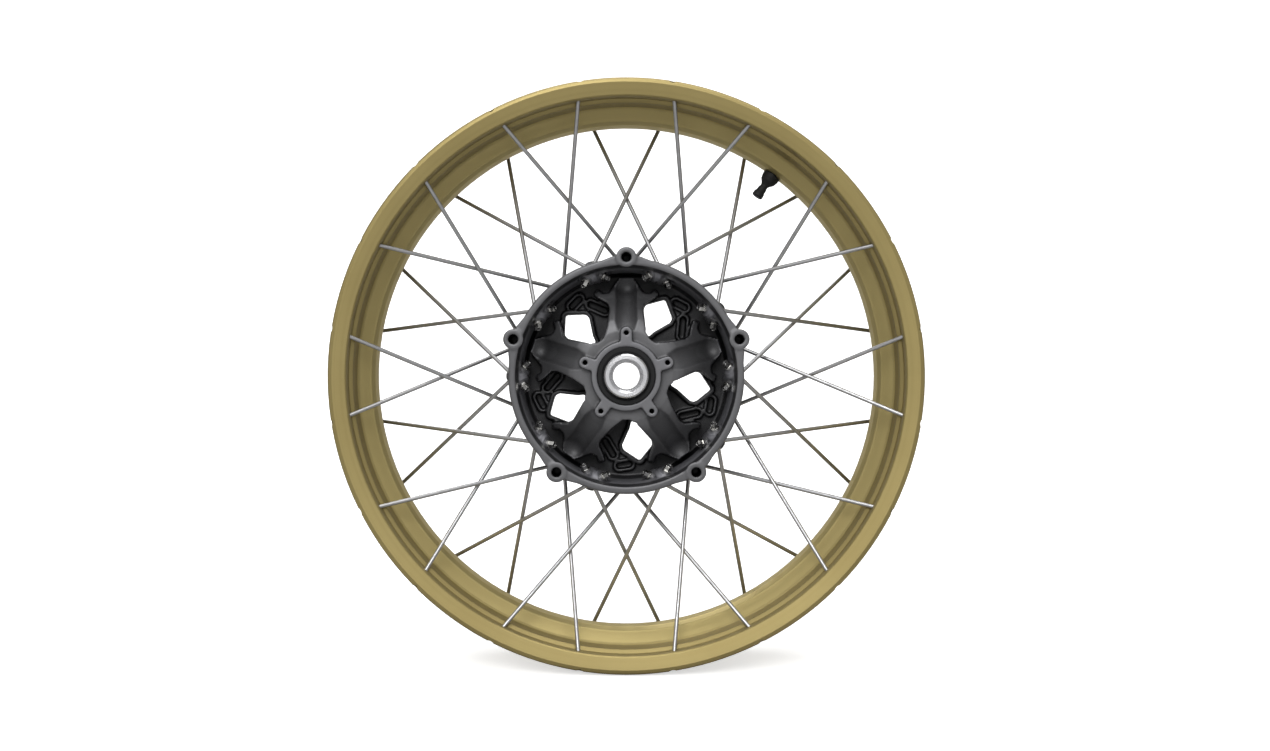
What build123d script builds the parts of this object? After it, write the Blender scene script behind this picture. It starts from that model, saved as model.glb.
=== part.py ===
from build123d import *
import os
from math import cos, radians, sin, sqrt

os.makedirs("parts", exist_ok=True)

# Spoked 19 inch front wheel, millimetres. Origin at the wheel centre, spin axis along Y,
# left side of the motorcycle towards -Y, +Z up. "Clock" angles run from the top towards +X.
# "Depth" is the distance from the middle plane towards the left side (-Y).

# Rim
well_radius = 224.4
well_wall = 3.6
bead_seat_radius = 241.3
flange_radius = 255.3
flange_half_width = 38.1
ledge_inner_radius = 240.8
ledge_outer_radius = 256.8
ledge_half_width = 55.4
rim_edge_radius = 0.5

# Spoke lacing
spoke_pitch = 36.0
spokes_per_group = 10
rim_stagger = 8.0
hub_lead = 25.8
rim_reference_radius = 240.0
rim_reference_depth = 44.5
hub_reference_radius = 86.7
outer_seat_depth = 35.8
inner_seat_depth = 24.5
spoke_radius = 1.75
spoke_thread_radius = 2.0
spoke_hole_radius = 1.9
thread_start = 5.0
thread_end = 22.0
spoke_head_radius = 2.9
spoke_head_height = 1.6
spoke_crown_height = 1.0
spoke_crown_taper = 40
spoke_head_seat = 249.0
head_pocket_radius = 3.3
head_pocket_depth = 16.0

# Nipples
nipple_seat_radius = 91.0
nipple_body_radius = 3.0
nipple_flange_radius = 4.1
nipple_flange_height = 2.4
nipple_tip_radius = 3.3
nipple_end_radius = 100.5
nipple_bore_radius = 2.02
nipple_hole_radius = 3.1
nipple_hole_reach = 24.0
lock_start = 0.6
lock_length = 4.2
lock_key_radius = 1.1
lock_key_depth = 2.2
seat_clearance_radius = 7.4
seat_clearance_depth = 10.0
seat_boss_radius = 7.6
seat_boss_end = 94.0

# Hub casting
drum_half_width = 50.0
drum_outer_radius = 102.0
drum_inner_radius = 95.8
drum_edge_chamfer = 1.2
web_half_thickness = 5.0
web_radius = 93.0
boss_radius = 30.2
boss_half_width = 46.0
arm_count = 5
arm_height = 41.6
arm_corner_radius = 1.4
window_corner_radius = 1.6
arm_pitch = 72.0
twin_clock = 27.0
lug_circle_radius = 102.5
lug_radius = 8.8
disc_bolt_radius = 4.25
disc_bolt_depth = 20.0
disc_bolt_chamfer = 0.4
lug_height = 27.0
lug_step = 0.8
ear_circle_radius = 37.5
ear_radius = 5.2
sensor_bolt_radius = 2.1
sensor_bolt_depth = 12.0

# Bearings, seals and the parts that stay still on the axle
axle_bore_radius = 12.5
bearing_outer_radius = 23.5
bearing_width = 12.0
bearing_inner_depth = 27.0
bearing_pitch_radius = 18.0
ball_radius = 3.175
ball_count = 10
seal_radius = 25.0
seal_width = 7.0
hub_core_radius = 19.5
collar_radius = 19.0
collar_end_depth = 53.0

# Valve
valve_clock = 36.0

bearing_outer_depth = bearing_inner_depth + bearing_width
seal_inner_depth = boss_half_width - seal_width


def clock_point(radius, clock, depth=0.0):
    """Point at a radius and clock angle, a depth left of the middle plane."""
    turn = radians(clock)
    return Vector(radius * sin(turn), -depth, radius * cos(turn))


def face_point(radius, clock):
    """The same point in the coordinates of a sketch that faces the left side."""
    turn = radians(clock)
    return (radius * sin(turn), radius * cos(turn))


def left_plane(depth):
    """Sketch plane across the axle, facing the left side."""
    return Plane.XZ.offset(depth)


# Half plane for turned profiles: first coordinate radius, second coordinate depth.
turning_plane = Plane(origin=(0, 0, 0), x_dir=(1, 0, 0), z_dir=(0, 0, -1))


def turned(profile, rounded=0.0):
    """A ring turned about the axle from (radius, depth) corners."""
    with BuildPart() as ring:
        with BuildSketch(turning_plane) as section:
            with BuildLine():
                Polyline(*profile, close=True)
            make_face()
            if rounded:
                fillet(section.vertices(), radius=rounded)
        revolve(axis=Axis.Y)
    return ring.part


def turned_pair(profile, side, rounded=0.0):
    """The same ring on the left (side 1) or the right (side -1)."""
    mirrored = [(radius, side * depth) for radius, depth in profile]
    return turned(mirrored, rounded)


# ---------------------------------------------------------------- spoke geometry

spoke_swing = radians(rim_stagger + hub_lead)
span_in_plane = sqrt(
    rim_reference_radius**2
    + hub_reference_radius**2
    - 2 * rim_reference_radius * hub_reference_radius * cos(spoke_swing)
)
spoke_offset = rim_reference_radius * hub_reference_radius * sin(spoke_swing) / span_in_plane


def spoke_slope(seat_depth):
    """Sideways travel of a spoke for each millimetre across the wheel."""
    return (rim_reference_depth + seat_depth) / span_in_plane


def along_spoke(radius, seat_depth):
    """Distance along a spoke from its hub reference point to a wheel radius."""
    across = sqrt(radius**2 - spoke_offset**2) - sqrt(hub_reference_radius**2 - spoke_offset**2)
    return across * sqrt(1 + spoke_slope(seat_depth) ** 2)


def spoke_planes(side, lean, seat_depth, distance=0.0):
    """Planes square to the ten spokes of one group, a distance from the hub end."""
    first = 0.0 if side > 0 else spoke_pitch / 2
    planes = []
    for number in range(spokes_per_group):
        middle = first + spoke_pitch * number
        hub_end = clock_point(hub_reference_radius, middle - lean * hub_lead, side * seat_depth)
        rim_end = clock_point(
            rim_reference_radius, middle + lean * rim_stagger, -side * rim_reference_depth
        )
        planes.append(Plane(origin=hub_end, z_dir=rim_end - hub_end).offset(distance))
    return planes


# Each group: name, hub side (1 left, -1 right), lean at the rim, depth of its hub seats.
spoke_groups = [
    ("left_outer", 1, 1, outer_seat_depth),
    ("left_inner", 1, -1, inner_seat_depth),
    ("right_outer", -1, -1, outer_seat_depth),
    ("right_inner", -1, 1, inner_seat_depth),
]


# ---------------------------------------------------------------- rim

well_under = [(well_radius, 0), (225.0, 7.0), (227.2, 12.6)]
slope_under = [(228.6, 13.8), (236.2, 22.0), (237.6, 24.2)]
ledge_under = [(237.6, 40.2), (240.6, 42.6), (ledge_inner_radius, 51.6)]
ledge_face = [(241.8, 52.7), (252.2, ledge_half_width)]
ledge_top = [
    (254.8, 54.7), (256.3, 52.9), (ledge_outer_radius, 50.6), (ledge_outer_radius, 43.6),
    (flange_radius, 41.4),
]
flange_side = [(254.0, 39.2), (251.6, flange_half_width), (243.6, flange_half_width)]
bead_seat = [(bead_seat_radius, 35.8), (240.9, 26.6), (241.8, 24.6), (241.4, 23.0)]
well_over = [(232.2, 13.0), (229.4, 10.4), (well_radius + well_wall, 6.0)]
rim_half = (
    well_under + slope_under + ledge_under + ledge_face + ledge_top + flange_side + bead_seat
    + well_over
)


def make_rim():
    """Drop centre rim with a spoke ledge outside each tyre flange."""
    far_half = [(radius, -depth) for radius, depth in rim_half if depth]
    inner_run = len(well_under + slope_under + ledge_under + ledge_face) - 1
    near_under = rim_half[1:inner_run + 1]
    near_over = rim_half[inner_run + 1:]
    far_under = far_half[:inner_run]
    far_over = far_half[inner_run:]
    outline = near_under + near_over + far_over[::-1] + far_under[::-1]
    with BuildPart() as rim:
        with BuildSketch(turning_plane) as section:
            with BuildLine():
                Polyline((well_radius, 0), *outline, close=True)
            make_face()
            fillet(section.vertices(), radius=rim_edge_radius)
        revolve(axis=Axis.Y)
        for name, side, lean, seat_depth in spoke_groups:
            ledge_start = along_spoke(rim_reference_radius - 4, seat_depth)
            seat = along_spoke(spoke_head_seat, seat_depth)
            with BuildSketch(*spoke_planes(side, lean, seat_depth, ledge_start)):
                Circle(spoke_hole_radius)
            extrude(amount=seat - ledge_start + 1, mode=Mode.SUBTRACT)
            with BuildSketch(*spoke_planes(side, lean, seat_depth, seat)):
                Circle(head_pocket_radius)
            extrude(amount=head_pocket_depth, mode=Mode.SUBTRACT)
        with BuildSketch(valve_plane(-10)):
            Circle(valve_hole_radius)
        extrude(amount=14, mode=Mode.SUBTRACT)
    rim.part.label = "rim"
    return rim.part


# ---------------------------------------------------------------- hub

# Right half of one arm with its toothed end plate, as (clock, radius) corners.
arm_side = [
    (3.9, 87.4), (11.7, 75.3), (15.6, 75.6), (18.4, 80.6), (21.8, 77.8),
    (19.3, 72.2), (14.4, 66.0), (14.0, 61.0), (20.5, 47.0), (31.0, 38.0),
]
# Top of the arms as they run out and down from the boss, as (radius, depth) corners.
arm_top = [
    (0, arm_height), (40.0, arm_height), (50.0, 38.5), (60.0, 32.0), (70.0, 25.5), (80.0, 20.0),
    (web_radius, 20.0), (web_radius, 0),
]
# Round trough along the top of each arm: its axis runs between these (radius, depth) points.
trough_start = (45.0, 51.0)
trough_end = (80.0, 29.4)
trough_radius = 13.0
# Opening between a left arm and a right arm, as (clock, radius) corners.
window = [
    (27.0, 77.6), (38.6, 66.8), (39.4, 62.0), (32.0, 46.5), (30.0, 41.0),
    (24.0, 41.0), (22.0, 46.5), (14.6, 62.0), (15.4, 66.8),
]
window_rim_depth = 8.5
window_rim_width = 3.0
# Pockets in the back of each arm: clock angle from the arm, radius, length, tilt.
arm_pockets = [(22.6, 66.5, 20.0, 46.0), (34.7, 80.0, 15.0, -10.0)]
pocket_width = 6.0
pocket_lip_width = 2.4
pocket_lip_height = 2.5
drum_face_depth = drum_half_width - lug_step
drum_half = [
    (90.0, 0), (90.0, 6.0), (92.0, 12.0), (93.4, 36.0), (drum_inner_radius, drum_face_depth),
    (drum_outer_radius - drum_edge_chamfer, drum_face_depth),
    (drum_outer_radius, drum_face_depth - drum_edge_chamfer),
    (101.0, 30.0), (98.0, 8.0), (97.0, 0),
]
# Foot of one disc lug where it runs into the drum, as (clock, radius) corners.
lug_foot = [
    (-13.0, 98.0), (-12.5, 101.6), (-6.5, 104.0), (6.5, 104.0), (12.5, 101.6), (13.0, 98.0),
]


def window_outlines(margin):
    """Flat drawing of the five openings of the web, a margin larger all round."""
    with BuildSketch() as outlines:
        for arm in range(arm_count):
            with BuildLine():
                corners = [face_point(r, arm * arm_pitch + clock) for clock, r in window]
                Polyline(*corners, close=True)
            make_face()
        fillet(outlines.vertices(), radius=window_corner_radius)
        if margin:
            offset(amount=margin)
    return outlines.sketch


def pocket_outlines(margin):
    """Long lightening pockets in the backs of the right arms, as seen from the left."""
    for arm in range(arm_count):
        for clock, radius, length, tilt in arm_pockets:
            place = arm * arm_pitch - clock
            with Locations(face_point(radius, place)):
                SlotOverall(
                    length + 2 * margin, pocket_width + 2 * margin, rotation=-place - tilt
                )


trough_length = sqrt(
    (trough_end[0] - trough_start[0]) ** 2 + (trough_end[1] - trough_start[1]) ** 2
)


def trough_planes():
    """Planes square to the troughs of the five left arms, at their inner ends."""
    planes = []
    for arm in range(arm_count):
        clock = arm * arm_pitch
        start = clock_point(trough_start[0], clock, trough_start[1])
        end = clock_point(trough_end[0], clock, trough_end[1])
        planes.append(Plane(origin=start, z_dir=end - start))
    return planes


def make_hub_half():
    """Left half of the hub casting; the right half is the same casting turned over."""
    window_rims = window_outlines(window_rim_width)
    with BuildPart() as half:
        with BuildSketch(left_plane(0)) as star:
            with BuildLine():
                corners = []
                for arm in range(arm_count):
                    middle = arm * arm_pitch
                    left = [face_point(radius, middle - clock) for clock, radius in arm_side]
                    right = [face_point(radius, middle + clock) for clock, radius in arm_side]
                    corners += left[::-1] + right
                Polyline(*corners, close=True)
            make_face()
            fillet(star.vertices(), radius=arm_corner_radius)
        extrude(amount=boss_half_width)
        with BuildSketch(turning_plane):
            with BuildLine():
                Polyline((0, 0), *arm_top, close=True)
            make_face()
        revolve(axis=Axis.Y, mode=Mode.INTERSECT)
        with BuildSketch(*trough_planes()):
            Circle(trough_radius)
        extrude(amount=trough_length, mode=Mode.SUBTRACT)
        for arm in range(arm_count):
            with Locations(clock_point(trough_end[0], arm * arm_pitch, trough_end[1])):
                Sphere(trough_radius, mode=Mode.SUBTRACT)
        with BuildSketch(left_plane(0)):
            Circle(web_radius)
        extrude(amount=web_half_thickness)
        with BuildSketch(left_plane(0)):
            add(window_rims)
        extrude(amount=window_rim_depth)
        with BuildSketch(left_plane(0)):
            pocket_outlines(pocket_lip_width)
        extrude(amount=web_half_thickness + pocket_lip_height)
        with BuildSketch(turning_plane):
            with BuildLine():
                Polyline(*drum_half, close=True)
            make_face()
        revolve(axis=Axis.Y)
        with BuildSketch(left_plane(0)):
            Circle(boss_radius)
        extrude(amount=boss_half_width)
        with BuildSketch(left_plane(0)):
            with PolarLocations(0, arm_count):
                with Locations((0, ear_circle_radius)):
                    Circle(ear_radius)
                with Locations((0, ear_circle_radius - ear_radius)):
                    Rectangle(2 * ear_radius, 2 * ear_radius)
        extrude(amount=boss_half_width)
        with BuildSketch(left_plane(drum_half_width - lug_height)):
            for arm in range(arm_count):
                middle = arm * arm_pitch
                with BuildLine():
                    foot = [face_point(radius, middle + clock) for clock, radius in lug_foot]
                    Polyline(*foot, close=True)
                make_face()
        extrude(amount=lug_height - lug_step)
        with BuildSketch(left_plane(drum_half_width - lug_height)):
            with PolarLocations(0, arm_count):
                with Locations((0, lug_circle_radius)):
                    Circle(lug_radius)
        extrude(amount=lug_height)
        for name, side, lean, seat_depth in spoke_groups[:2]:
            seat = along_spoke(nipple_seat_radius, seat_depth)
            outside = along_spoke(seat_boss_end, seat_depth)
            with BuildSketch(*spoke_planes(side, lean, seat_depth, seat)):
                Circle(seat_boss_radius)
            extrude(amount=outside - seat)
        with BuildSketch(left_plane(0)):
            pocket_outlines(0.0)
        extrude(amount=web_half_thickness + pocket_lip_height, mode=Mode.SUBTRACT)
        for name, side, lean, seat_depth in spoke_groups[:2]:
            seat = along_spoke(nipple_seat_radius, seat_depth)
            clearance_start = seat - seat_clearance_depth
            with BuildSketch(*spoke_planes(side, lean, seat_depth, clearance_start)):
                Circle(seat_clearance_radius)
            extrude(amount=seat_clearance_depth, mode=Mode.SUBTRACT)
            with BuildSketch(*spoke_planes(side, lean, seat_depth, clearance_start)):
                Circle(nipple_hole_radius)
            extrude(amount=seat_clearance_depth + nipple_hole_reach, mode=Mode.SUBTRACT)
    return half.part


def make_hub():
    """Hub casting: the left half, its turned-over twin, windows, pockets and bores."""
    left_half = make_hub_half()
    windows = window_outlines(0.0)
    turn_axis = Axis((0, 0, 0), tuple(clock_point(1, twin_clock)))
    right_half = left_half.rotate(turn_axis, 180)
    with BuildPart() as hub:
        add(left_half)
        add(right_half)
        with BuildSketch(left_plane(-drum_half_width)):
            add(windows)
        extrude(amount=2 * drum_half_width, mode=Mode.SUBTRACT)
        with BuildSketch(turning_plane):
            with BuildLine():
                Polyline(
                    (0, -60), (0, 60), (seal_radius + 0.6, 60),
                    (seal_radius + 0.6, boss_half_width),
                    (seal_radius, boss_half_width - 0.6), (seal_radius, seal_inner_depth),
                    (bearing_outer_radius, seal_inner_depth),
                    (bearing_outer_radius, bearing_inner_depth),
                    (hub_core_radius, bearing_inner_depth),
                    (hub_core_radius, -bearing_inner_depth),
                    (bearing_outer_radius, -bearing_inner_depth),
                    (bearing_outer_radius, -seal_inner_depth),
                    (seal_radius, -seal_inner_depth), (seal_radius, 0.6 - boss_half_width),
                    (seal_radius + 0.6, -boss_half_width), (seal_radius + 0.6, -60),
                    close=True,
                )
            make_face()
        revolve(axis=Axis.Y, mode=Mode.SUBTRACT)
        with BuildSketch(left_plane(drum_half_width)):
            with PolarLocations(0, arm_count):
                with Locations((0, lug_circle_radius)):
                    Circle(disc_bolt_radius)
        extrude(amount=-disc_bolt_depth, mode=Mode.SUBTRACT)
        with BuildSketch(left_plane(drum_half_width)):
            with PolarLocations(0, arm_count):
                with Locations((0, lug_circle_radius)):
                    Circle(disc_bolt_radius + disc_bolt_chamfer)
        extrude(amount=-disc_bolt_chamfer, taper=45, mode=Mode.SUBTRACT)
        with BuildSketch(left_plane(boss_half_width)):
            with PolarLocations(0, arm_count):
                with Locations((0, ear_circle_radius)):
                    Circle(sensor_bolt_radius)
        extrude(amount=-sensor_bolt_depth, mode=Mode.SUBTRACT)
    hub.part.label = "hub"
    return hub.part


# ---------------------------------------------------------------- spokes and nipples


def make_spokes(name, side, lean, seat_depth):
    """Ten straight spokes, headed at the rim and threaded at the hub."""
    seat = along_spoke(spoke_head_seat, seat_depth)
    with BuildPart() as spokes:
        with BuildSketch(*spoke_planes(side, lean, seat_depth, thread_start)):
            Circle(spoke_thread_radius)
        extrude(amount=thread_end - thread_start)
        with BuildSketch(*spoke_planes(side, lean, seat_depth, thread_end)):
            Circle(spoke_radius)
        extrude(amount=seat - thread_end)
        with BuildSketch(*spoke_planes(side, lean, seat_depth, seat)):
            Circle(spoke_head_radius)
        extrude(amount=spoke_head_height)
        with BuildSketch(*spoke_planes(side, lean, seat_depth, seat + spoke_head_height)):
            Circle(spoke_head_radius)
        extrude(amount=spoke_crown_height, taper=spoke_crown_taper)
    spokes.part.label = "spokes_" + name
    return spokes.part


def make_nipples(name, side):
    """Twenty nipples of one hub side, each pushed through the drum from inside."""
    with BuildPart() as nipples:
        for group, group_side, lean, seat_depth in spoke_groups:
            if group_side == side:
                seat = along_spoke(nipple_seat_radius, seat_depth)
                flange = seat - nipple_flange_height
                end = along_spoke(nipple_end_radius, seat_depth)
                with BuildSketch(*spoke_planes(side, lean, seat_depth, 0.0)):
                    RegularPolygon(nipple_tip_radius, 6)
                extrude(amount=flange)
                with BuildSketch(*spoke_planes(side, lean, seat_depth, flange)):
                    Circle(nipple_flange_radius)
                extrude(amount=nipple_flange_height)
                with BuildSketch(*spoke_planes(side, lean, seat_depth, seat)):
                    Circle(nipple_body_radius)
                extrude(amount=end - seat)
                with BuildSketch(*spoke_planes(side, lean, seat_depth, -1.0)):
                    Circle(nipple_bore_radius)
                extrude(amount=end + 2, mode=Mode.SUBTRACT)
    nipples.part.label = "nipples_" + name
    return nipples.part


def make_nipple_locks(name, side):
    """Grub screws that lock the spoke ends inside the nipples."""
    with BuildPart() as locks:
        for group, group_side, lean, seat_depth in spoke_groups:
            if group_side == side:
                with BuildSketch(*spoke_planes(side, lean, seat_depth, lock_start)):
                    Circle(spoke_thread_radius)
                extrude(amount=lock_length)
                with BuildSketch(*spoke_planes(side, lean, seat_depth, lock_start)):
                    RegularPolygon(lock_key_radius, 6)
                extrude(amount=lock_key_depth, mode=Mode.SUBTRACT)
    locks.part.label = "nipple_locks_" + name
    return locks.part


# ---------------------------------------------------------------- bearings and axle stack

race_radius = ball_radius + 0.06
bearing_middle = bearing_inner_depth + bearing_width / 2
inner_ring_outer = 15.7
outer_ring_inner = 20.3
cage_half_width = 4.2
cage_half_thickness = 0.8
shield_inner_radius = 15.85
shield_half_thickness = 0.25
shield_inset = 0.9


def make_race(label, side, inside, outside):
    """One bearing ring with its ball track."""
    near = bearing_inner_depth
    far = bearing_outer_depth
    with BuildPart() as race:
        add(turned_pair([(inside, near), (outside, near), (outside, far), (inside, far)], side, 0.4))
        with BuildSketch(turning_plane):
            with Locations((bearing_pitch_radius, side * bearing_middle)):
                Circle(race_radius)
        revolve(axis=Axis.Y, mode=Mode.SUBTRACT)
    race.part.label = label
    return race.part


def make_balls(label, side):
    """Ten steel balls of one bearing."""
    with BuildPart() as balls:
        for number in range(ball_count):
            clock = 360 / ball_count * number
            with Locations(clock_point(bearing_pitch_radius, clock, side * bearing_middle)):
                Sphere(ball_radius)
    balls.part.label = label
    return balls.part


def make_cage(label, side):
    """Thin ribbon that keeps the balls apart."""
    low = bearing_middle - cage_half_width
    high = bearing_middle + cage_half_width
    inside = bearing_pitch_radius - cage_half_thickness
    outside = bearing_pitch_radius + cage_half_thickness
    with BuildPart() as cage:
        add(turned_pair([(inside, low), (outside, low), (outside, high), (inside, high)], side))
        for number in range(ball_count):
            clock = 360 / ball_count * number
            with Locations(clock_point(bearing_pitch_radius, clock, side * bearing_middle)):
                Sphere(ball_radius + 0.05, mode=Mode.SUBTRACT)
    cage.part.label = label
    return cage.part


def make_shields(label, side):
    """Two pressed steel shields held in the outer ring."""
    with BuildPart() as shields:
        for middle in (bearing_inner_depth + shield_inset, bearing_outer_depth - shield_inset):
            low = middle - shield_half_thickness
            high = middle + shield_half_thickness
            section = [
                (shield_inner_radius, low), (outer_ring_inner, low),
                (outer_ring_inner, high), (shield_inner_radius, high),
            ]
            add(turned_pair(section, side))
    shields.part.label = label
    return shields.part


def make_seal(label, side):
    """Rubber shaft seal pressed into the mouth of the hub."""
    low = seal_inner_depth
    high = boss_half_width
    section = [
        (seal_radius, low), (seal_radius, high - 0.4), (seal_radius - 0.6, high),
        (collar_radius + 2.4, high), (collar_radius + 1.6, high - 1.0),
        (collar_radius + 0.05, high - 1.4), (collar_radius + 0.05, high - 2.4),
        (collar_radius + 1.4, high - 3.4), (collar_radius + 0.05, high - 4.8),
        (collar_radius + 1.8, high - 6.2), (collar_radius + 1.8, low),
    ]
    seal = turned_pair(section, side)
    seal.label = label
    return seal


def make_collar(label, side):
    """Aluminium spacer collar the seal runs on."""
    shoulder = bearing_outer_depth
    section = [
        (axle_bore_radius, shoulder), (15.4, shoulder), (15.4, shoulder + 0.8),
        (collar_radius - 0.4, shoulder + 0.8), (collar_radius, shoulder + 1.4),
        (collar_radius, collar_end_depth - 1.2), (collar_radius - 1.2, collar_end_depth),
        (axle_bore_radius + 2.2, collar_end_depth), (axle_bore_radius, collar_end_depth - 2.2),
    ]
    collar = turned_pair(section, side)
    collar.label = label
    return collar


def make_spacer_tube():
    """Tube between the two inner rings."""
    end = bearing_inner_depth
    tube = turned([(axle_bore_radius, -end), (15.2, -end), (15.2, end), (axle_bore_radius, end)], 0.4)
    tube.label = "spacer_tube"
    return tube


# ---------------------------------------------------------------- valve

valve_hole_radius = 5.65
valve_inward = -clock_point(1, valve_clock)
valve_foot = clock_point(well_radius, valve_clock)
valve_axis = Axis(tuple(valve_foot), tuple(valve_inward))


def valve_plane(distance):
    """Plane square to the valve, a distance inwards from the rim well."""
    return Plane(origin=valve_foot, z_dir=valve_inward).offset(distance)


# Half plane through the valve: first coordinate radius, second distance towards the hub.
valve_turning_plane = Plane(
    origin=valve_foot,
    x_dir=(0, -1, 0),
    z_dir=(cos(radians(valve_clock)), 0, -sin(radians(valve_clock))),
)


def valve_turned(label, profile, rounded=0.0):
    """A round valve piece turned about the valve axis."""
    with BuildPart() as piece:
        with BuildSketch(valve_turning_plane) as section:
            with BuildLine():
                Polyline(*profile, close=True)
            make_face()
            if rounded:
                fillet(section.vertices(), radius=rounded)
        revolve(axis=valve_axis)
    piece.part.label = label
    return piece.part


rubber_profile = [
    (2.4, -9.0), (6.6, -9.0), (9.0, -6.8), (9.0, -5.4), (5.6, -3.8), (5.6, 0.4), (8.1, 0.7),
    (7.8, 4.0), (6.8, 7.4), (4.6, 10.0), (3.5, 11.8), (3.4, 14.2), (2.4, 14.2),
]
stem_profile = [
    (1.2, -9.4), (2.4, -9.4), (2.4, 14.3), (3.3, 14.3), (3.3, 19.6), (1.9, 19.6),
    (1.9, 0.1), (1.2, 0.1),
]
core_profile = [(0.8, 8.0), (1.4, 8.0), (1.88, 9.2), (1.88, 17.6), (0.8, 17.6)]
pin_profile = [
    (0, 1.4), (0.5, 1.4), (0.5, 6.3), (1.6, 6.3), (1.6, 7.8), (0.5, 7.8), (0.5, 18.6), (0, 18.6),
]
cap_profile = [
    (3.35, 14.4), (3.9, 14.4), (4.1, 18.0), (4.9, 20.0), (5.0, 23.2), (4.3, 24.0), (0, 24.0),
    (0, 22.6), (3.35, 22.6),
]


def make_valve_spring():
    """Return spring between the shoulder in the stem and the collar of the pin."""
    with BuildPart() as spring:
        with BuildLine() as coil:
            Helix(pitch=1.1, height=5.5, radius=1.1)
        with BuildSketch(Plane(origin=coil.line @ 0, z_dir=coil.line % 0)):
            Circle(0.18)
        sweep(is_frenet=True)
    placed = spring.part.moved(valve_plane(0.4).location)
    placed.label = "valve_spring"
    return placed


# ---------------------------------------------------------------- assembly

pieces = [make_rim(), make_hub(), make_spacer_tube(), make_valve_spring()]
for name, side, lean, seat_depth in spoke_groups:
    pieces.append(make_spokes(name, side, lean, seat_depth))
for name, side in (("left", 1), ("right", -1)):
    pieces.append(make_nipples(name, side))
    pieces.append(make_nipple_locks(name, side))
    pieces.append(make_race("bearing_inner_ring_" + name, side, axle_bore_radius, inner_ring_outer))
    pieces.append(
        make_race("bearing_outer_ring_" + name, side, outer_ring_inner, bearing_outer_radius)
    )
    pieces.append(make_balls("bearing_balls_" + name, side))
    pieces.append(make_cage("bearing_cage_" + name, side))
    pieces.append(make_shields("bearing_shields_" + name, side))
    pieces.append(make_seal("shaft_seal_" + name, side))
    pieces.append(make_collar("collar_" + name, side))
pieces.append(valve_turned("valve_rubber", rubber_profile, 0.3))
pieces.append(valve_turned("valve_stem", stem_profile))
pieces.append(valve_turned("valve_core", core_profile))
pieces.append(valve_turned("valve_pin", pin_profile))
pieces.append(valve_turned("valve_cap", cap_profile))

for piece in pieces:
    export_step(piece, "parts/" + piece.label + ".step")
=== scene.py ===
from math import cos, hypot, pi, radians, sin

import bmesh
import bpy
from mathutils import Matrix, Vector


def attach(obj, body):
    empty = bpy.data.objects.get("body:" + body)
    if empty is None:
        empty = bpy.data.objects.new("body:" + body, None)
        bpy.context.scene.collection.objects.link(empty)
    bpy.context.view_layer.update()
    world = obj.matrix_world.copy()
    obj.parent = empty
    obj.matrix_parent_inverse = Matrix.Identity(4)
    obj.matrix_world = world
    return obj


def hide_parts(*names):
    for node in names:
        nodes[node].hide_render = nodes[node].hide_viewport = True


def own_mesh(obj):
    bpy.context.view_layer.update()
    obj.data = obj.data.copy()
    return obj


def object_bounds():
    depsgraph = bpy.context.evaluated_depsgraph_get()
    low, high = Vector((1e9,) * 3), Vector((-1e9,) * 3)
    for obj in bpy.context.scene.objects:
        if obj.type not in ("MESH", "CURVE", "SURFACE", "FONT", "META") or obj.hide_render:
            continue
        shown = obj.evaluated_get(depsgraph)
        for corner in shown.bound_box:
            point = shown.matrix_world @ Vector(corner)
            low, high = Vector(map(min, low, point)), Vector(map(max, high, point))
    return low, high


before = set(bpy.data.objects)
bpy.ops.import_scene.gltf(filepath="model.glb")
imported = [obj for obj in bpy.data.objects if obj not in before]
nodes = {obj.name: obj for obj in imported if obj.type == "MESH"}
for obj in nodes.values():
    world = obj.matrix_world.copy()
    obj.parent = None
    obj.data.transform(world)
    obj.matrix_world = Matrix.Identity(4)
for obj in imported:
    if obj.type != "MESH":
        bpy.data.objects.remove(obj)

cad_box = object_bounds()

# Camera: on the spin axis, at the distance and field of view the picture was taken from.
CAMERA_DISTANCE = 1.032
LENS_MM = 32.36
SENSOR_MM = 36.0
IMAGE_WIDTH = 1270.0
CENTRE_OFFSET_X = 8.7
CENTRE_OFFSET_Y = 0.5
# Brightness of the studio from floor level to overhead.
SKY_LOW = 0.36
SKY_HIGH = 0.68

SIDES = ("left", "right")


# ---------------------------------------------------------------- material helpers


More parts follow.
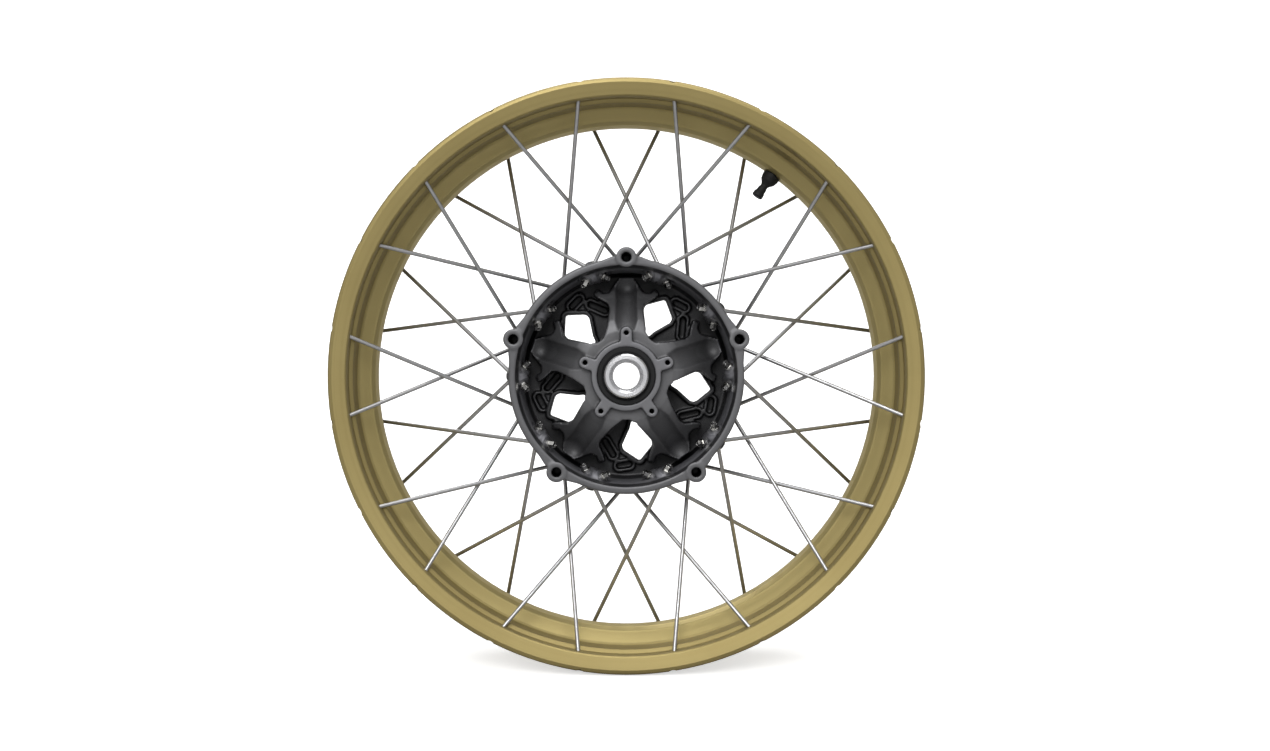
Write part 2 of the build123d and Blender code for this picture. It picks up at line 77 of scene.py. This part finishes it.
class Nodes:
    """Short calls that add shader nodes to one material and link them."""

    def __init__(self, name):
        self.material = bpy.data.materials.new(name)
        self.material.use_nodes = True
        self.tree = self.material.node_tree
        self.tree.nodes.clear()
        self.shader = self.add("ShaderNodeBsdfPrincipled")
        self.output = self.add("ShaderNodeOutputMaterial")
        self.tree.links.new(self.shader.outputs[0], self.output.inputs[0])
        self.place = self.add("ShaderNodeTexCoord").outputs["Object"]

    def add(self, kind, **settings):
        node = self.tree.nodes.new(kind)
        for key, value in settings.items():
            setattr(node, key, value)
        return node

    def put(self, socket, value):
        if isinstance(value, bpy.types.NodeSocket):
            self.tree.links.new(value, socket)
        else:
            socket.default_value = value

    def set(self, **inputs):
        for key, value in inputs.items():
            self.put(self.shader.inputs[key.replace("_", " ")], value)

    def noise(self, scale, detail=4.0, roughness=0.55, place=None, stretch=None):
        node = self.add("ShaderNodeTexNoise")
        node.inputs["Scale"].default_value = scale
        node.inputs["Detail"].default_value = detail
        node.inputs["Roughness"].default_value = roughness
        source = place or self.place
        if stretch:
            mapping = self.add("ShaderNodeMapping")
            mapping.inputs["Scale"].default_value = stretch
            self.put(mapping.inputs["Vector"], source)
            source = mapping.outputs[0]
        self.put(node.inputs["Vector"], source)
        return node.outputs["Fac"]

    def remap(self, value, low, high, new_low, new_high):
        node = self.add("ShaderNodeMapRange")
        self.put(node.inputs["Value"], value)
        for key, number in zip(
            ("From Min", "From Max", "To Min", "To Max"), (low, high, new_low, new_high)
        ):
            self.put(node.inputs[key], number)
        return node.outputs[0]

    def mix(self, amount, first, second, blend="MIX"):
        node = self.add("ShaderNodeMix", data_type="RGBA", blend_type=blend)
        self.put(node.inputs["Factor"], amount)
        self.put(node.inputs["A"], first)
        self.put(node.inputs["B"], second)
        return node.outputs["Result"]

    def math(self, operation, first, second=0.0):
        node = self.add("ShaderNodeMath", operation=operation)
        self.put(node.inputs[0], first)
        self.put(node.inputs[1], second)
        return node.outputs[0]

    def occlusion(self, distance):
        node = self.add("ShaderNodeAmbientOcclusion", samples=6)
        node.inputs["Distance"].default_value = distance
        return node.outputs["AO"]

    def pointiness(self, low, high):
        """0 to 1 as the surface goes from one sharpness to another; 0.5 is flat."""
        geometry = self.add("ShaderNodeNewGeometry")
        return self.remap(geometry.outputs["Pointiness"], low, high, 0.0, 1.0)

    def between(self, value, low, high, soft):
        """1 where a value lies between two limits, with soft ends."""
        rise = self.remap(value, low - soft, low, 0.0, 1.0)
        fall = self.remap(value, high, high + soft, 1.0, 0.0)
        return self.math("MULTIPLY", rise, fall)

    def edges(self, radius, low=0.02, high=0.25):
        """1 along sharp edges, 0 on flat areas."""
        bevel = self.add("ShaderNodeBevel", samples=4)
        bevel.inputs["Radius"].default_value = radius
        geometry = self.add("ShaderNodeNewGeometry")
        dot = self.add("ShaderNodeVectorMath", operation="DOT_PRODUCT")
        self.put(dot.inputs[0], bevel.outputs[0])
        self.put(dot.inputs[1], geometry.outputs["Normal"])
        return self.remap(self.math("SUBTRACT", 1.0, dot.outputs["Value"]), low, high, 0.0, 1.0)

    def bump(self, height, strength, distance, round_radius=0.0):
        node = self.add("ShaderNodeBump")
        node.inputs["Strength"].default_value = strength
        node.inputs["Distance"].default_value = distance
        self.put(node.inputs["Height"], height)
        if round_radius:
            bevel = self.add("ShaderNodeBevel", samples=4)
            bevel.inputs["Radius"].default_value = round_radius
            self.put(node.inputs["Normal"], bevel.outputs[0])
        self.put(self.shader.inputs["Normal"], node.outputs[0])

    def axle_distance(self):
        """Distance from the spin axis, and place along it."""
        split = self.add("ShaderNodeSeparateXYZ")
        self.put(split.inputs[0], self.place)
        squares = self.math(
            "ADD",
            self.math("POWER", self.math("ABSOLUTE", split.outputs[0]), 2.0),
            self.math("POWER", self.math("ABSOLUTE", split.outputs[2]), 2.0),
        )
        return self.math("SQRT", squares), split.outputs[1]


    def turning_marks(self, fineness):
        """Faint rings round the axle, as a lathe leaves them: a value round 0.5."""
        radius, depth = self.axle_distance()
        place = self.add("ShaderNodeCombineXYZ")
        self.put(place.inputs[0], radius)
        self.put(place.inputs[1], depth)
        return self.noise(fineness, 5.0, 0.7, place=place.outputs[0])


def rgb(red, green, blue):
    """Linear colour from 0-255 display values."""
    def linear(value):
        value /= 255.0
        return value / 12.92 if value <= 0.04045 else ((value + 0.055) / 1.055) ** 2.4
    return (linear(red), linear(green), linear(blue), 1.0)


# ---------------------------------------------------------------- materials


def gold_anodised():
    m = Nodes("gold_anodised")
    cloud = m.noise(9.0, 5.0)
    grain = m.noise(900.0, 3.0, 0.7)
    marks = m.turning_marks(420.0)
    base = m.mix(m.remap(cloud, 0.35, 0.65, 0.0, 1.0), rgb(158, 142, 92), rgb(166, 150, 99))
    base = m.mix(m.remap(marks, 0.3, 0.7, 0.3, 0.0), base, rgb(134, 118, 72))
    radius, depth = m.axle_distance()
    # Painted shade: a darker band on the groove under the ledge.
    channel_shade = m.math(
        "MULTIPLY",
        m.between(radius, 0.2366, 0.2386, 0.0012),
        m.between(m.math("ABSOLUTE", depth), 0.0245, 0.0400, 0.0015),
    )
    # Painted light: the well and the inner slopes are lightened, as if more light fell on them.
    well_light = m.between(m.math("ABSOLUTE", depth), -1.0, 0.0238, 0.0015)
    base = m.mix(m.math("MULTIPLY", well_light, 0.9), base, rgb(204, 186, 126))
    # Painted shade: the colour darkens in hollows and creases, where less light reaches.
    hollow_shade = m.remap(m.occlusion(0.012), 0.3, 0.8, 0.5, 0.0)
    base = m.mix(hollow_shade, base, rgb(120, 107, 64))
    # Painted shade: a darker band along a crease in the well.
    crease_shade = m.between(m.math("ABSOLUTE", depth), 0.0085, 0.0128, 0.0015)
    base = m.mix(m.math("MULTIPLY", channel_shade, 0.25), base, rgb(112, 98, 60))
    base = m.mix(m.math("MULTIPLY", crease_shade, 0.3), base, rgb(120, 106, 64))
    # Painted highlight: sharp edges are lightened, as if catching the light.
    base = m.mix(m.math("MULTIPLY", m.edges(0.0012), 0.35), base, rgb(196, 178, 126))
    m.set(Base_Color=base, Metallic=0.7, Roughness=m.remap(marks, 0.3, 0.7, 0.36, 0.48))
    m.bump(grain, 0.16, 0.0002, 0.0006)
    return m.material


def dark_casting():
    m = Nodes("dark_casting")
    cloud = m.noise(14.0, 5.0)
    grain = m.noise(1100.0, 4.0, 0.75)
    base = m.mix(m.remap(cloud, 0.35, 0.65, 0.0, 1.0), rgb(97, 97, 99), rgb(105, 105, 107))
    shade = m.remap(m.occlusion(0.05), 0.35, 0.98, 1.0, 0.0)
    radius, depth = m.axle_distance()
    # Painted light: the faces of the central boss are lightened, as if lit from the front.
    boss_light = m.math(
        "MULTIPLY",
        m.between(radius, 0.0, 0.0430, 0.0005),
        m.between(m.math("ABSOLUTE", depth), 0.0455, 0.0600, 0.0003),
    )
    base = m.mix(m.math("MULTIPLY", boss_light, 0.8), base, rgb(118, 118, 121))
    # Painted light: round the nipple seats the colour is lightened, as if the mounds caught the light.
    seat_light = m.math(
        "MULTIPLY",
        m.between(radius, 0.0875, 0.0950, 0.0020),
        m.between(m.math("ABSOLUTE", depth), 0.0140, 0.0380, 0.0030),
    )
    # Painted shade: the inner drum wall near its mouth is darkened.
    wall_shade = m.math(
        "MULTIPLY",
        m.between(radius, 0.0900, 0.0956, 0.0006),
        m.between(m.math("ABSOLUTE", depth), 0.0400, 0.0484, 0.0006),
    )
    shade = m.math("MAXIMUM", shade, m.math("MULTIPLY", wall_shade, 0.8))
    # Painted light at the nipple seats: the painted shade is cut back and the colour made paler.
    shade = m.math("MULTIPLY", shade, m.remap(seat_light, 0.0, 1.0, 1.0, 0.3))
    base = m.mix(m.math("MULTIPLY", seat_light, 0.6), base, rgb(138, 138, 144))
    # Painted shade: the hub's arms are darkened.
    arm_shade = m.math(
        "MULTIPLY",
        m.between(radius, 0.0480, 0.0880, 0.0040),
        m.between(m.math("ABSOLUTE", depth), 0.0240, 0.0440, 0.0010),
    )
    base = m.mix(m.math("MULTIPLY", arm_shade, 0.2), base, rgb(17, 17, 19))
    base = m.mix(shade, base, rgb(17, 17, 19))
    # Painted shade: hollows and concave edges are darkened.
    base = m.mix(m.math("MULTIPLY", m.pointiness(0.47, 0.40), 0.7), base, rgb(16, 16, 18))
    # Painted highlight: convex edges are lightened, as if catching the light.
    base = m.mix(m.math("MULTIPLY", m.pointiness(0.53, 0.62), 0.6), base, rgb(150, 150, 154))
    m.set(Base_Color=base, Metallic=0.45, Roughness=m.remap(cloud, 0.3, 0.7, 0.4, 0.48))
    m.bump(grain, 0.35, 0.0003)
    return m.material


def steel(name, colour, roughness, scratch=0.2):
    m = Nodes(name)
    streak = m.noise(260.0, 3.0, 0.6, stretch=(1.0, 0.15, 1.0))
    base = m.mix(m.remap(streak, 0.3, 0.7, 0.0, 0.35), colour, (0.25, 0.25, 0.25, 1.0))
    # Painted highlight: sharp edges are lightened, as if catching the light.
    base = m.mix(m.math("MULTIPLY", m.edges(0.0004), 0.4), base, (0.8, 0.8, 0.8, 1.0))
    rough = m.remap(streak, 0.3, 0.7, roughness - 0.06, roughness + 0.08)
    m.set(Base_Color=base, Metallic=1.0, Roughness=rough)
    m.bump(streak, scratch, 0.0001, 0.0003)
    return m.material


def turned_metal(name, colour, roughness):
    """Metal with fine turning rings round the axle."""
    m = Nodes(name)
    radius, depth = m.axle_distance()
    rings = m.math("SINE", m.math("MULTIPLY", radius, 14000.0))
    cloud = m.noise(60.0, 3.0)
    base = m.mix(m.remap(cloud, 0.3, 0.7, 0.0, 0.4), colour, (0.55, 0.55, 0.56, 1.0))
    m.set(Base_Color=base, Metallic=1.0, Roughness=m.remap(cloud, 0.3, 0.7, roughness, roughness + 0.1))
    m.bump(rings, 0.12, 0.0001, 0.0004)
    return m.material


def rubber(name, level, grain_scale=700.0):
    m = Nodes(name)
    cloud = m.noise(40.0, 4.0)
    grain = m.noise(grain_scale, 3.0, 0.7)
    dark = (level, level, level, 1.0)
    pale = (level * 2.2, level * 2.2, level * 2.3, 1.0)
    base = m.mix(m.remap(cloud, 0.3, 0.7, 0.0, 1.0), dark, pale)
    # Painted highlight: sharp edges are lightened, as if catching the light.
    base = m.mix(m.math("MULTIPLY", m.edges(0.0005), 0.4), base, (level * 5, level * 5, level * 5, 1.0))
    m.set(Base_Color=base, Roughness=m.remap(cloud, 0.3, 0.7, 0.55, 0.7), Specular_IOR_Level=0.25)
    m.bump(grain, 0.25, 0.0002, 0.0004)
    return m.material


def paint(node, material):
    """Gives one CAD node its finish."""
    slots = nodes[node].material_slots
    for place in slots:
        place.material = material
    if not len(slots):
        nodes[node].data.materials.append(material)


# Lacing of the spokes in metres and degrees: clock angles run from the top towards +X.
SPOKE_PITCH = 36.0
SPOKES_PER_GROUP = 10
HUB_REFERENCE_RADIUS = 0.0867
RIM_REFERENCE_RADIUS = 0.240
RIM_REFERENCE_DEPTH = 0.0445
HUB_LEAD = 25.8
RIM_STAGGER = 8.0
OUTER_SEAT_DEPTH = 0.0358
INNER_SEAT_DEPTH = 0.0245
# Mound round each nipple seat: place along the spoke, half sizes.
MOUND_DISTANCE = 0.0116
MOUND_HALF_WIDTH = 0.0096
MOUND_HALF_HEIGHT = 0.0046
# The mounds stay inside the drum wall.
MOUND_OUTER_RADIUS = 0.0985


def clock_point(radius, clock, depth):
    turn = radians(clock)
    return Vector((radius * sin(turn), -depth, radius * cos(turn)))


def spoke_lines():
    """Hub end and direction of all forty spokes."""
    groups = (
        (1, 1, OUTER_SEAT_DEPTH), (1, -1, INNER_SEAT_DEPTH),
        (-1, -1, OUTER_SEAT_DEPTH), (-1, 1, INNER_SEAT_DEPTH),
    )
    for side, lean, seat_depth in groups:
        for number in range(SPOKES_PER_GROUP):
            middle = SPOKE_PITCH * number + (0.0 if side > 0 else SPOKE_PITCH / 2)
            hub_end = clock_point(HUB_REFERENCE_RADIUS, middle - lean * HUB_LEAD, side * seat_depth)
            rim_end = clock_point(
                RIM_REFERENCE_RADIUS, middle + lean * RIM_STAGGER, -side * RIM_REFERENCE_DEPTH
            )
            yield hub_end, (rim_end - hub_end).normalized()


def add_seat_mounds(mesh, distance, across, along):
    """Joins a soft mound to a casting round each nipple seat."""
    cast = bmesh.new()
    cast.from_mesh(mesh)
    for hub_end, direction in spoke_lines():
        turn = direction.to_track_quat("Z", "Y").to_matrix().to_4x4()
        place = Matrix.Translation(hub_end + direction * distance) @ turn
        place = place @ Matrix.Diagonal((across, across, along, 1.0))
        mound = bmesh.ops.create_uvsphere(
            cast, u_segments=24, v_segments=14, radius=1.0, matrix=place
        )
        for point in mound["verts"]:
            inwards = min(1.0, MOUND_OUTER_RADIUS / hypot(point.co.x, point.co.z))
            point.co.x *= inwards
            point.co.z *= inwards
    cast.to_mesh(mesh)
    cast.free()


def cast_skin(node, body, cell, rounds):
    """Stands for a cast part, with every edge rounded the way a mould leaves it."""
    piece = bpy.data.objects.new(node + "_skin", nodes[node].data.copy())
    add_seat_mounds(piece.data, MOUND_DISTANCE, MOUND_HALF_WIDTH, MOUND_HALF_HEIGHT)
    bpy.context.scene.collection.objects.link(piece)
    remesh = piece.modifiers.new("skin", "REMESH")
    remesh.mode = "VOXEL"
    remesh.voxel_size = cell
    remesh.use_smooth_shade = True
    smooth = piece.modifiers.new("rounding", "SMOOTH")
    smooth.factor = 0.5
    smooth.iterations = rounds
    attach(piece, body)
    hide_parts(node)
    return piece


def pressed_spring():
    """Stands for the valve spring."""
    piece = bpy.data.objects.new("valve_spring_coil", nodes["valve_spring"].data.copy())
    bpy.context.scene.collection.objects.link(piece)
    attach(piece, "wheel")
    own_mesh(piece)
    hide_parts("valve_spring")
    return piece


gold = gold_anodised()
casting = dark_casting()
spoke_steel = steel("spoke_steel", (0.5, 0.5, 0.51, 1.0), 0.38)
nickel = steel("nickel", (0.78, 0.77, 0.74, 1.0), 0.2)
dark_steel = steel("dark_steel", (0.12, 0.12, 0.13, 1.0), 0.4)
bearing_steel = steel("bearing_steel", (0.55, 0.55, 0.57, 1.0), 0.2)
brass = steel("brass", (0.72, 0.55, 0.25, 1.0), 0.3)
collar_metal = turned_metal("collar_metal", (0.78, 0.78, 0.8, 1.0), 0.24)
seal_rubber = rubber("seal_rubber", 0.006)
valve_rubber = rubber("valve_rubber", 0.008)
cap_plastic = rubber("cap_plastic", 0.009)

finishes = {
    "rim": gold, "hub": casting, "spacer_tube": bearing_steel, "valve_rubber": valve_rubber,
    "valve_cap": cap_plastic, "valve_stem": brass, "valve_core": brass,
    "valve_pin": bearing_steel, "valve_spring": bearing_steel,
}
for group in ("left_outer", "left_inner", "right_outer", "right_inner"):
    finishes["spokes_" + group] = spoke_steel
for side in SIDES:
    finishes["nipples_" + side] = nickel
    finishes["nipple_locks_" + side] = dark_steel
    finishes["shaft_seal_" + side] = seal_rubber
    finishes["collar_" + side] = collar_metal
    for part in ("inner_ring_", "outer_ring_", "balls_", "cage_", "shields_"):
        finishes["bearing_" + part + side] = bearing_steel
for node, material in finishes.items():
    paint(node, material)
cast_skin("hub", "wheel", 0.0009, 4)
pressed_spring()


# ---------------------------------------------------------------- stage


def make_floor():
    """Pale floor that curves up into a backdrop behind the wheel."""
    low = cad_box[0].z - 0.0005
    half_width, front, back, rise = 6.0, -3.5, 2.2, 4.5
    curve = 1.2
    profile = [(front, low), (back - curve, low)]
    steps = 12
    for step in range(1, steps + 1):
        turn = step / steps * pi / 2
        profile.append((back - curve + curve * sin(turn), low + curve - curve * cos(turn)))
    profile.append((back, low + rise))
    points = [(x, y, z) for y, z in profile for x in (-half_width, half_width)]
    faces = [(2 * i, 2 * i + 1, 2 * i + 3, 2 * i + 2) for i in range(len(profile) - 1)]
    mesh = bpy.data.meshes.new("floor")
    mesh.from_pydata(points, [], faces)
    for face in mesh.polygons:
        face.use_smooth = True
    floor = bpy.data.objects.new("floor", mesh)
    bpy.context.scene.collection.objects.link(floor)
    m = Nodes("floor_paper")
    cloud = m.noise(0.8, 3.0)
    rays = m.add("ShaderNodeLightPath")
    base = m.mix(m.remap(cloud, 0.3, 0.7, 0.0, 1.0), (0.9, 0.9, 0.9, 1.0), (0.92, 0.92, 0.92, 1.0))
    base = m.mix(rays.outputs["Is Camera Ray"], (0.4, 0.4, 0.4, 1.0), base)
    m.set(Base_Color=base, Roughness=0.9)
    m.shader.inputs["Emission Color"].default_value = (1.0, 1.0, 1.0, 1.0)
    m.put(m.shader.inputs["Emission Strength"], m.remap(rays.outputs["Is Camera Ray"], 0, 1, 0.0, 0.6))
    mesh.materials.append(m.material)


def area_light(name, place, aim, size, power):
    data = bpy.data.lights.new(name, "AREA")
    data.shape = "DISK"
    data.size = size
    data.energy = power
    light = bpy.data.objects.new(name, data)
    light.location = place
    light.rotation_mode = "QUATERNION"
    light.rotation_quaternion = (Vector(aim) - Vector(place)).to_track_quat("-Z", "Y")
    bpy.context.scene.collection.objects.link(light)


def make_light():
    world = bpy.data.worlds.new("studio")
    bpy.context.scene.world = world
    world.use_nodes = True
    tree = world.node_tree
    background = tree.nodes["Background"]
    background.inputs[0].default_value = (1.0, 1.0, 1.0, 1.0)
    place = tree.nodes.new("ShaderNodeTexCoord")
    split = tree.nodes.new("ShaderNodeSeparateXYZ")
    rise = tree.nodes.new("ShaderNodeMapRange")
    rise.inputs["From Min"].default_value = -0.6
    rise.inputs["From Max"].default_value = 0.8
    rise.inputs["To Min"].default_value = SKY_LOW
    rise.inputs["To Max"].default_value = SKY_HIGH
    rays = tree.nodes.new("ShaderNodeLightPath")
    seen = tree.nodes.new("ShaderNodeMath")
    seen.operation = "MAXIMUM"
    tree.links.new(place.outputs["Generated"], split.inputs[0])
    tree.links.new(split.outputs[2], rise.inputs["Value"])
    tree.links.new(rise.outputs[0], seen.inputs[0])
    tree.links.new(rays.outputs["Is Camera Ray"], seen.inputs[1])
    tree.links.new(seen.outputs[0], background.inputs[1])
    area_light("key", (-0.4, -2.5, 1.5), (0, 0, 0), 1.6, 44)
    area_light("top", (0.3, -0.4, 2.6), (0, 0, 0), 1.6, 24)
    area_light("back", (-0.6, 1.8, 2.2), (0, 0, 0), 1.6, 18)


def make_camera():
    data = bpy.data.cameras.new("camera")
    data.lens = LENS_MM
    data.sensor_width = SENSOR_MM
    data.shift_x = CENTRE_OFFSET_X / IMAGE_WIDTH
    data.shift_y = CENTRE_OFFSET_Y / IMAGE_WIDTH
    camera = bpy.data.objects.new("camera", data)
    camera.location = (0.0, -CAMERA_DISTANCE, 0.0)
    camera.rotation_euler = (pi / 2, 0.0, 0.0)
    bpy.context.scene.collection.objects.link(camera)
    bpy.context.scene.camera = camera


make_floor()
make_light()
make_camera()
bpy.context.scene.view_settings.view_transform = "Standard"
